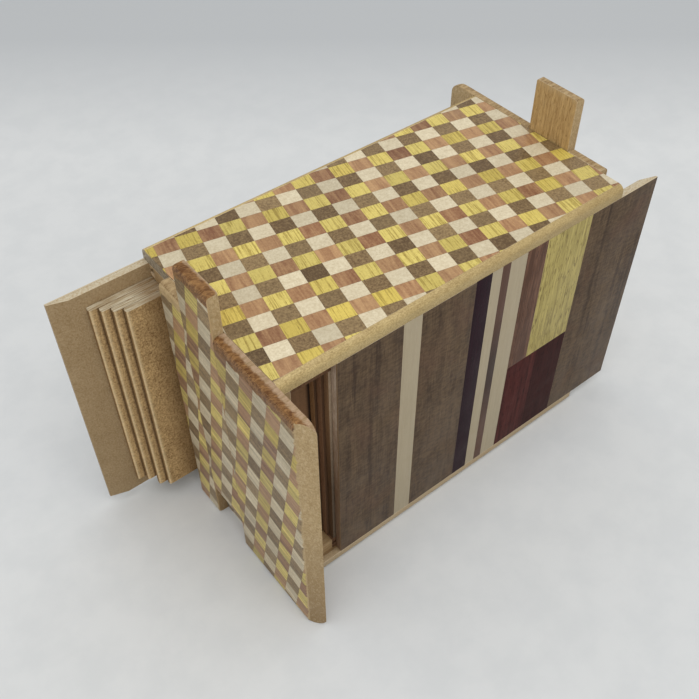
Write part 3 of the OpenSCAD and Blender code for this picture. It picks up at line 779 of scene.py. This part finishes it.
def end_core(name, rubbed, face_top=None):
    """Core of an end piece: board sides, rubbed or plain on top, with a thin inner lining."""
    tint = colours()
    place = new_material(name)
    inner_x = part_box("right_wide_core")[0][0]
    outer_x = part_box("right_wide_core")[1][0]
    ragged = wander(noise(place, 500), LINING_RAGGED)
    depth = plus(calc("ABSOLUTE", part_of(place, "X")), ragged)
    lining_x = inner_x + sizes().lining * (0.45 if face_top else 1)
    lining = fade(depth, lining_x - LINING_SOFTNESS, lining_x + LINING_SOFTNESS)
    side, side_height = board_colour(place, tint.core, tint.core_dark)
    # Painted shade on the lower part of the core's sides
    low_shade = fade(part_of(place, "Z"), *CORE_LOW_SHADE_Z, 0.95)
    side = blend(low_shade, side, tint.core_low_shade)
    scratch = drawn_noise(place, (1300, 1300, 700), 4, 0.7, 1)
    side = blend(spread(scratch, 0.5, 0.66, 0, 0.34), side, tint.core_scratch)
    side = blend(fade(scratch, 0.34, 0.48, 0.55), side, tint.core_dark)
    cut, cut_height = end_grain(place)
    speck = drawn_noise(place, (300, 1100, 900), 3, 0.65)
    tops = (tint.lining_top, tint.board_dark) if rubbed else (tint.plain_top, tint.plain_top_dark)
    ends = blend(spread(speck, 0.4, 0.7), *tops)
    if rubbed:
        ends = blend(lining, cut, ends)
    if face_top:
        inward = times(facing("X", 0.85, 0.97), lining)
        side = blend(inward, side, middle_face(place, face_top))
    colour = blend(facing("Z", 0.3, 0.5), side, ends)
    height = plus(side_height, times(cut_height, 0.4))
    open_edge = fade(depth, outer_x - OPEN_EDGE[0], outer_x - OPEN_EDGE[1])
    return finish_wood(place, colour, height, CORE_ROUGH, CORE_BUMP, 0.25, open_edge)


MATERIALS = {}


def build_end_checkers():
    """Checker of each end piece, with its own tile corner, as each was sawn off on its own."""
    size = sizes()
    corners = {"wide": (size.wide_y, size.wide_z), "middle": (size.middle_y, size.middle_z),
               "narrow": (size.narrow_y, size.narrow_z)}
    for piece, (y, z) in corners.items():
        left, right = f"left_{piece}_veneer", f"right_{piece}_veneer"
        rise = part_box(right)[0][2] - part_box(left)[0][2]
        wide = piece == "wide"
        MATERIALS[left] = end_checker(f"Left {piece} checker", -1, (y, z), left,
                                      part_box(left)[0][1] if wide else None, piece == "narrow")
        MATERIALS[right] = end_checker(f"Right {piece} checker", 1, (y, z + rise), right,
                                       -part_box(right)[1][1] if wide else None, True)


def build_materials():
    """Makes every finish once and keeps it under a short word."""
    build_grain_group()
    build_tile_group()
    build_fibre_group()
    build_handling_group()
    tint = colours()
    sawn = (tint.deck, tint.deck_dark)
    bare = (tint.frame, tint.frame_dark)
    build_end_checkers()
    MATERIALS.update({
        "lid checker": lid_checker(),
        "lid board": wood("Lid board wood", *sawn, "X", 600, rough=DULL_ROUGH, cut=sawn),
        "bottom board": wood(
            "Bottom board wood", tint.bottom, tint.bottom_dark, "X", 600,
            rough=DULL_ROUGH, cut=sawn),
        "lid edge": mottled_strip("Pale edge strip", tint.edge, tint.edge_dark, sawn),
        "bottom edge": mottled_strip("Dull edge strip", tint.foot, tint.foot_dark, sawn),
        "frame": wood("Light frame wood", *bare, "X", rough=0.62),
        "frame upright": wood("Light upright wood", *bare, "Z", rough=0.62),
        # Painted shade: the front rails get this dark wood because they lie in shade
        "inside": wood(
            "Shaded inside wood", tint.inside, tint.inside_dark, "Z", 900, 0.5, 0.4, 0.4,
            rough=DUSTY_ROUGH, gloss=0.15, wear=0.1),
        "front slat 1": front_slat(
            "Outer front slat", tint.slat_face_1, tint.slat_end_1, low_shade_share=0.6),
        "front slat 2": front_slat("Second front slat", tint.slat_face_2, tint.slat_end_2),
        "front slat 3": front_slat("Third front slat", tint.slat_face_3, tint.slat_end_3),
        "front slat 4": front_slat(
            "Inner front slat", tint.slat_face_4, tint.slat_end_4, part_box("front_slat_3")[0][0]),
        "board": fibreboard("Brown fibreboard"),
        "front board": fibreboard("Front panel fibreboard", sawn_end=True),
        "coarse board": back_slat_board("Fuzzy fibreboard"),
        "stepped board": back_slat_board("Stepped fibreboard", back_slat_step()),
        "plain core": end_core("Plain end core", False),
        "rubbed core": end_core("Rubbed end core", True),
        "left middle core": end_core(
            "Left middle core", True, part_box("left_middle_core")[1][2]),
        "right middle core": end_core(
            "Right middle core", False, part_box("right_middle_core")[1][2]),
        "walnut": figured_wood("Walnut veneer", tint.walnut, tint.walnut_dark),
        "light": wood("Pale strip veneer", tint.light, tint.light_dark, "Z", 800, 0.5, 0.3, 0.1),
        "purple": wood(
            "Purple strip veneer", tint.purple, tint.purple_dark, "Z", 800, 0.6, 0.5, 0.5,
            gloss=0.12, wear=0.3),
        "thin": thin_brown_wood("Thin brown veneer"),
        "russet": wood(
            "Russet veneer", tint.russet_strip, tint.russet_strip_dark, "Z", 520, 1, 0.6, 1.1,
            gloss=0.15, wear=0.4),
        "yellow": wood(
            "Yellow veneer", tint.yellow_strip, tint.yellow_strip_dark, "Z", 640, 0.6, 0.4, 2.2),
        "red": dark_red_wood("Dark red veneer"),
    })


# Pieces

def new_object(name, data):
    thing = bpy.data.objects.new(name, data)
    bpy.context.scene.collection.objects.link(thing)
    return thing


SHARP_EDGE = math.radians(35)
SHARP_SHADING = math.radians(38)
ARRIS_STEPS = 3
ROUND_STEPS = 4
WELD = 0.001 * MM


def keep(mesh, node):
    """Makes a finished piece of a mesh, named after the CAD node that it stands for, puts it on
    that node's body and hides the node.
    """
    mesh.polygons.foreach_set("use_smooth", [True] * len(mesh.polygons))
    mesh.set_sharp_from_angle(angle=SHARP_SHADING)
    piece = new_object(node + ".wood", mesh)
    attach(piece, BODY_OF[node])
    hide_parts(node)


def worked(node, material, arris):
    """A copy of a CAD piece with its sharp edges eased, as a sanded board has them."""
    mesh = frame["nodes"][node].data.copy()
    bm = bmesh.new()
    bm.from_mesh(mesh)
    bmesh.ops.remove_doubles(bm, verts=bm.verts, dist=WELD)
    bmesh.ops.dissolve_limit(bm, angle_limit=math.radians(0.5), verts=bm.verts, edges=bm.edges)
    layer = bm.faces.layers.float.new("arris")
    sharp = [edge for edge in bm.edges
             if len(edge.link_faces) == 2 and edge.calc_face_angle(0.0) > SHARP_EDGE]
    eased = bmesh.ops.bevel(bm, geom=sharp, offset=arris, offset_type="OFFSET",
                            segments=ARRIS_STEPS, profile=0.5, affect="EDGES", clamp_overlap=True)
    for face in eased["faces"]:
        face[layer] = 1.0
    bm.to_mesh(mesh)
    bm.free()
    mesh.materials.clear()
    mesh.materials.append(MATERIALS[material])
    keep(mesh, node)


def slat_tree():
    """Geometry nodes for one slat: a board with rounded upright edges, at its own place."""
    start, end = new_group(
        "Slat",
        {"Length": FLOAT, "Thickness": FLOAT, "Height": FLOAT, "Arris": FLOAT, "Place": VECTOR,
         "Material": "NodeSocketMaterial"},
        {"Geometry": "NodeSocketGeometry"}, "GeometryNodeTree")
    plan = put("GeometryNodeCurvePrimitiveQuadrilateral", {
        "Width": start["Length"], "Height": start["Thickness"]})
    eased = put("GeometryNodeFilletCurve", {
        "Curve": plan.outputs[0], "Radius": start["Arris"], "Count": ROUND_STEPS}, mode="POLY")
    filled = put("GeometryNodeFillCurve", {"Curve": eased.outputs[0]}, mode="NGONS")
    raised = put("GeometryNodeExtrudeMesh", {
        "Mesh": filled.outputs[0], "Offset": join_xyz(Z=1), "Offset Scale": start["Height"],
        "Individual": False})
    under = put("GeometryNodeFlipFaces", {"Mesh": filled.outputs[0]})
    joined = put("GeometryNodeJoinGeometry", {"Geometry": under.outputs[0]})
    give_out(joined, {"Geometry": raised.outputs["Mesh"]})
    welded = put("GeometryNodeMergeByDistance", {"Geometry": joined.outputs[0], "Distance": WELD})
    # The distance from the slat's left end, which its finish reads
    spot = part_of(put("GeometryNodeInputPosition").outputs[0], "X")
    from_end = plus(spot, times(start["Length"], 0.5))
    named = put("GeometryNodeStoreNamedAttribute", {
        "Geometry": welded.outputs[0], "Name": "from_end", "Value": from_end},
        data_type="FLOAT", domain="POINT")
    placed = put("GeometryNodeTransform", {
        "Geometry": named.outputs[0], "Translation": start["Place"]})
    real = put("GeometryNodeRealizeInstances", {"Geometry": placed.outputs[0]})
    dressed = put("GeometryNodeSetMaterial", {
        "Geometry": real.outputs[0], "Material": start["Material"]})
    give_out(end, {"Geometry": dressed.outputs[0]})
    return Bench.tree


def grow_slat(node, tree, arris, material):
    """Runs the slat tree for one CAD slat and keeps the result as a plain mesh."""
    low, high = (Vector(corner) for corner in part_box(node))
    span = high - low
    seed = new_object("slat seed", bpy.data.meshes.new("slat seed"))
    modifier = seed.modifiers.new("Slat", "NODES")
    modifier.node_group = tree
    values = {"Length": span.x, "Thickness": span.y, "Height": span.z, "Arris": arris,
              "Place": ((low.x + high.x) / 2, (low.y + high.y) / 2, low.z), "Material": material}
    for item in tree.interface.items_tree:
        if item.in_out == "INPUT":
            modifier[item.identifier] = values[item.name]
    ready = seed.evaluated_get(bpy.context.evaluated_depsgraph_get())
    mesh = bpy.data.meshes.new_from_object(ready)
    mesh.name = node + ".wood"
    bpy.data.objects.remove(seed)
    keep(mesh, node)


def make_decks():
    size = sizes()
    for deck in ("lid", "bottom"):
        worked(deck + "_board", deck + " board", size.skin_arris)
        worked(deck + "_veneer", "lid checker", size.skin_arris)
        for side in ("front", "back"):
            worked(f"{deck}_{side}_edge", deck + " edge", size.thin_arris)


def make_frame():
    size = sizes()
    for side in ("left", "right"):
        worked(side + "_end_wall", "frame upright", size.arris)
    # The front rails get the dark wood of painted shade
    for side, material in (("front", "inside"), ("back", "frame")):
        worked(side + "_upper_rail", material, size.arris)
        worked(side + "_lower_rail", material, size.arris)
        worked(side + "_rail_block", "frame", size.skin_arris)


FRONT_STRIPS = {
    "strip_walnut_left": "walnut", "strip_light_1": "light", "strip_walnut_middle": "walnut",
    "strip_purple": "purple", "strip_light_2": "light", "strip_thin_brown": "thin",
    "strip_light_3": "light", "strip_russet": "russet", "strip_yellow": "yellow",
    "strip_dark_red": "red", "strip_walnut_right": "walnut",
}


def make_long_panel(side, board, veneers):
    """Board of a long panel, what is glued to its outer face, and the runners on its inner one."""
    size = sizes()
    worked(side + "_panel_board", board, size.thin_arris)
    for node, material in veneers.items():
        worked(node, material, size.skin_arris)
    for level in ("upper", "lower"):
        worked(f"{side}_{level}_runner", "frame", size.thin_arris)


def make_slats():
    tree = slat_tree()
    size = sizes()
    for number in (1, 2, 3, 4):
        finish = MATERIALS[f"front slat {number}"]
        grow_slat(f"front_slat_{number}", tree, size.skin_arris, finish)
        finish = MATERIALS["coarse board" if number == 4 else "stepped board"]
        grow_slat(f"back_slat_{number}", tree, size.slat_arris, finish)


def make_ends():
    size = sizes()
    for side in ("left", "right"):
        cores = {"wide": "rubbed core" if side == "left" else "plain core",
                 "middle": side + " middle core", "narrow": "plain core"}
        for piece, core in cores.items():
            worked(f"{side}_{piece}_core", core, size.arris)
            veneer = f"{side}_{piece}_veneer"
            worked(veneer, veneer, size.skin_arris)
        worked(side + "_batten", "frame", size.arris)


# The photograph's camera, fitted to the lid's tiles
CAMERA_PLACE = (-0.1564, -0.17695, 0.29844)
CAMERA_HEADING = math.radians(-38.08)
CAMERA_DOWN = math.radians(46.78)
CAMERA_ROLL = math.radians(-0.37)
CAMERA_LENS = 46.68
CAMERA_SENSOR = 36

# One wide soft lamp above the front, in an evenly lit room
LAMP_PLACE = Vector((-0.1, -0.35, 1.4))
LAMP_AIM = Vector((-0.05, 0.0, 0.05))
LAMP_SIZE = 1.3
LAMP_POWER = 9.6
ROOM_LEVEL = 0.66

FLOOR_HALF = 4
# Where the paper, with painted falloff of light, begins to darken behind the box, and where it has
# darkened
FLOOR_FALLOFF = (0.2, 0.33)


def make_floor():
    tint = colours()
    place = new_material("Pale paper floor")
    mottle = spread(noise(place, 60, 4), 0.4, 0.62, 0, 0.36)
    tone = blend(mottle, tint.floor, tint.floor_mottle)
    # Painted falloff of light: the paper darkens away from the camera
    away = part_of(turned(place, (0, 0, -CAMERA_HEADING)), "Y")
    tone = blend(spread(away, *FLOOR_FALLOFF), tone, tint.floor_falloff)
    add_shader({"Base Color": tone, "Roughness": 0.85, "Specular IOR Level": 0.2})
    mesh = bpy.data.meshes.new("floor")
    bm = bmesh.new()
    bmesh.ops.create_grid(bm, x_segments=4, y_segments=4, size=FLOOR_HALF)
    bm.to_mesh(mesh)
    bm.free()
    mesh.materials.append(Bench.material)
    floor = new_object("floor", mesh)


def make_lights():
    world = bpy.data.worlds.new("Studio")
    world.use_nodes = True
    room = world.node_tree.nodes["Background"]
    room.inputs["Color"].default_value = (1, 1, 1, 1)
    room.inputs["Strength"].default_value = ROOM_LEVEL
    bpy.context.scene.world = world
    data = bpy.data.lights.new("Window light", "AREA")
    data.shape = "SQUARE"
    data.size = LAMP_SIZE
    data.energy = LAMP_POWER
    lamp = new_object("Window light", data)
    lamp.location = LAMP_PLACE
    lamp.rotation_euler = (LAMP_AIM - LAMP_PLACE).to_track_quat("-Z", "Y").to_euler()


def make_camera():
    data = bpy.data.cameras.new("Camera")
    data.sensor_width = CAMERA_SENSOR
    data.lens = CAMERA_LENS
    camera = new_object("Camera", data)
    camera.location = CAMERA_PLACE
    turn = (Euler((0, 0, CAMERA_HEADING)).to_matrix()
            @ Euler((math.radians(90) - CAMERA_DOWN, 0, 0)).to_matrix()
            @ Euler((0, 0, CAMERA_ROLL)).to_matrix())
    camera.rotation_euler = turn.to_euler()
    bpy.context.scene.camera = camera


def make_stage():
    bpy.context.scene.view_settings.view_transform = "Standard"
    make_floor()
    make_lights()
    make_camera()


class PUZZLE_OT_materials(bpy.types.Operator):
    """Make every wood and board finish"""
    bl_idname = "puzzle.materials"
    bl_label = "Mix finishes"

    def execute(self, context):
        build_materials()
        return {"FINISHED"}


class PUZZLE_OT_decks(bpy.types.Operator):
    """Make the lid, the bottom and the strips along their edges"""
    bl_idname = "puzzle.decks"
    bl_label = "Lid and bottom"

    def execute(self, context):
        make_decks()
        return {"FINISHED"}


class PUZZLE_OT_frame(bpy.types.Operator):
    """Make the end walls, the rails and their blocks"""
    bl_idname = "puzzle.frame"
    bl_label = "Fixed frame"

    def execute(self, context):
        make_frame()
        return {"FINISHED"}


class PUZZLE_OT_front_panel(bpy.types.Operator):
    """Make the front panel and its striped veneer"""
    bl_idname = "puzzle.front_panel"
    bl_label = "Front panel"

    def execute(self, context):
        make_long_panel("front", "front board", FRONT_STRIPS)
        return {"FINISHED"}


class PUZZLE_OT_back_panel(bpy.types.Operator):
    """Make the back panel and its veneer"""
    bl_idname = "puzzle.back_panel"
    bl_label = "Back panel"

    def execute(self, context):
        make_long_panel("back", "board", {"back_panel_veneer": "walnut"})
        return {"FINISHED"}


class PUZZLE_OT_slats(bpy.types.Operator):
    """Make the slats behind both panels"""
    bl_idname = "puzzle.slats"
    bl_label = "Slats"

    def execute(self, context):
        make_slats()
        return {"FINISHED"}


class PUZZLE_OT_ends(bpy.types.Operator):
    """Make the six end pieces and their battens"""
    bl_idname = "puzzle.ends"
    bl_label = "End pieces"

    def execute(self, context):
        make_ends()
        return {"FINISHED"}


class PUZZLE_OT_stage(bpy.types.Operator):
    """Make the floor, the light and the camera"""
    bl_idname = "puzzle.stage"
    bl_label = "Stage"

    def execute(self, context):
        make_stage()
        return {"FINISHED"}


STEPS = [
    PUZZLE_OT_materials, PUZZLE_OT_decks, PUZZLE_OT_frame,
    PUZZLE_OT_front_panel, PUZZLE_OT_back_panel, PUZZLE_OT_slats,
    PUZZLE_OT_ends, PUZZLE_OT_stage,
]


class PUZZLE_PT_panel(bpy.types.Panel):
    """Lists the pieces of the puzzle box and the sizes that they use."""
    bl_idname = "PUZZLE_PT_panel"
    bl_label = "Puzzle Box"
    bl_space_type = "VIEW_3D"
    bl_region_type = "UI"
    bl_category = "Puzzle Box"

    def draw(self, context):
        for step in STEPS:
            self.layout.operator(step.bl_idname)
        for name in PUZZLE_PG_sizes.__annotations__:
            self.layout.prop(context.scene.puzzle_sizes, name)


CLASSES = [PUZZLE_PG_sizes, PUZZLE_PG_colours, *STEPS, PUZZLE_PT_panel]


def register():
    for entry in CLASSES:
        bpy.utils.register_class(entry)
    bpy.types.Scene.puzzle_sizes = bpy.props.PointerProperty(type=PUZZLE_PG_sizes)
    bpy.types.Scene.puzzle_colours = bpy.props.PointerProperty(type=PUZZLE_PG_colours)


def unregister():
    del bpy.types.Scene.puzzle_colours
    del bpy.types.Scene.puzzle_sizes
    for entry in reversed(CLASSES):
        bpy.utils.unregister_class(entry)


def main():
    register()
    for step in STEPS:
        getattr(bpy.ops.puzzle, step.bl_idname.split(".")[1])()


if __name__ == "__main__":
    main()
